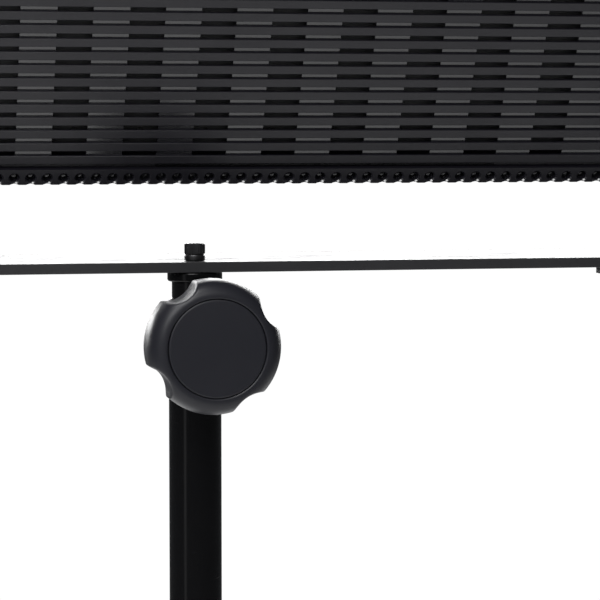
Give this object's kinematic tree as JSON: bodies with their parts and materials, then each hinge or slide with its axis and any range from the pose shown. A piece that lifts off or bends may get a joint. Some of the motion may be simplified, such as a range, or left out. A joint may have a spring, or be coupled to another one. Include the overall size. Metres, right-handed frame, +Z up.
{
  "type": "music stand",
  "caption": "Height-adjustable music stand with a ribbed tilting desk, a flat cross plate used as a shelf, a lobed clamp knob on a telescopic pole and a folding leg base.",
  "frame": {"origin": "on the floor, under the middle of the stand's bounding box; the pole stands 75 mm towards -Y of it", "axes": "+Z up along the pole, +Y towards the player, the clamp knob faces -Y, +X to the right of someone facing the knob"},
  "size_m": [0.5516, 0.482, 1.0598],
  "materials": {
    "black_painted_steel": "fine-textured black powder coat",
    "black_gloss_tube": "gloss black lacquered steel tube",
    "black_cast_hub": "black powder coat on a casting",
    "black_ribbed_plastic": "satin black moulded plastic",
    "black_knob_plastic": "satin black moulded plastic with a fine grain",
    "black_gloss_plastic": "gloss black moulded plastic",
    "dark_bolt_steel": "black-oxide steel, worn bright on the edges",
    "zinc_steel": "bright zinc-plated steel",
    "brass": "machined brass",
    "white_nylon": "natural nylon",
    "black_rubber": "soft black rubber"
  },
  "bodies": {
    "base": {"hub_casting": "black_cast_hub", "hub_bottom_cap": "black_gloss_plastic", "hub_set_screws": "dark_bolt_steel", "outer_tube": "black_gloss_tube", "neck_bush": "black_gloss_plastic", "clamp_collar": "black_knob_plastic", "collar_rivet": "dark_bolt_steel", "collar_thread_insert": "brass", "hinge_pin_rear": "zinc_steel", "hinge_pin_front_left": "zinc_steel", "hinge_pin_front_right": "zinc_steel"},
    "leg_rear": {"leg_knuckle_rear": "black_knob_plastic", "leg_tube_rear": "black_gloss_tube", "rubber_foot_rear": "black_rubber"},
    "leg_front_left": {"leg_knuckle_front_left": "black_knob_plastic", "leg_tube_front_left": "black_gloss_tube", "rubber_foot_front_left": "black_rubber"},
    "leg_front_right": {"leg_knuckle_front_right": "black_knob_plastic", "leg_tube_front_right": "black_gloss_tube", "rubber_foot_front_right": "black_rubber"},
    "pressure_pad": {"clamp_pad": "white_nylon"},
    "knob": {"clamp_knob": "black_knob_plastic", "clamp_knob_cap": "black_knob_plastic", "clamp_stud": "zinc_steel"},
    "lift": {"guide_bush": "white_nylon"},
    "head": {"inner_tube": "black_gloss_tube", "flanged_plug": "black_gloss_plastic", "captive_nut": "zinc_steel", "head_bolt": "dark_bolt_steel", "head_bolt_spacer": "dark_bolt_steel", "cross_plate": "black_painted_steel", "side_arm_left": "black_painted_steel", "side_arm_right": "black_painted_steel", "arm_screws": "dark_bolt_steel", "arm_nuts": "zinc_steel", "friction_washer_left": "white_nylon", "friction_washer_right": "white_nylon", "spring_washer_left": "zinc_steel", "spring_washer_right": "zinc_steel"},
    "desk": {"desk_rear_shell": "black_ribbed_plastic", "desk_front_sheet": "black_painted_steel", "sheet_rivets": "zinc_steel", "toothed_rail": "black_ribbed_plastic", "ledge": "black_painted_steel", "ledge_rivets": "dark_bolt_steel", "end_cheek_left": "black_knob_plastic", "end_cheek_right": "black_knob_plastic", "pivot_insert_left": "brass", "pivot_insert_right": "brass", "pivot_bolt_left": "dark_bolt_steel", "pivot_bolt_right": "dark_bolt_steel", "cheek_screws": "dark_bolt_steel"}
  },
  "joints": [
    {"name": "leg_rear_fold", "type": "hinge", "parent": "base", "child": "leg_rear", "pos_m": [0, -0.035, 0.112], "axis": [-1, 0, 0], "range_deg": [0, 66]},
    {"name": "leg_front_left_fold", "type": "hinge", "parent": "base", "child": "leg_front_left", "pos_m": [-0.03464, -0.095, 0.112], "axis": [0.5, -0.866, 0], "range_deg": [0, 66]},
    {"name": "leg_front_right_fold", "type": "hinge", "parent": "base", "child": "leg_front_right", "pos_m": [0.03464, -0.095, 0.112], "axis": [0.5, 0.866, 0], "range_deg": [0, 66]},
    {"name": "clamp_screw_travel", "type": "slide", "parent": "base", "child": "pressure_pad", "axis": [0, -1, 0], "range_m": [0, 0.0026]},
    {"name": "clamp_knob_turn", "type": "hinge", "parent": "pressure_pad", "child": "knob", "pos_m": [0, -0.075, 0.6828], "axis": [0, -1, 0], "range_deg": [0, 720]},
    {"name": "height_slide", "type": "slide", "parent": "base", "child": "lift", "axis": [0, 0, 1], "range_m": [0, 0.3]},
    {"name": "head_swivel", "type": "hinge", "parent": "lift", "child": "head", "pos_m": [0, -0.075, 0.7], "axis": [0, 0, 1], "continuous": true},
    {"name": "desk_tilt", "type": "hinge", "parent": "head", "child": "desk", "pos_m": [0, -0.075, 0.835], "axis": [1, 0, 0], "range_deg": [-25, 60]}
  ],
  "couplings": [
    {"joint": "clamp_screw_travel", "follows": "clamp_knob_turn", "m_per_rad": 0.00019894}
  ]
}
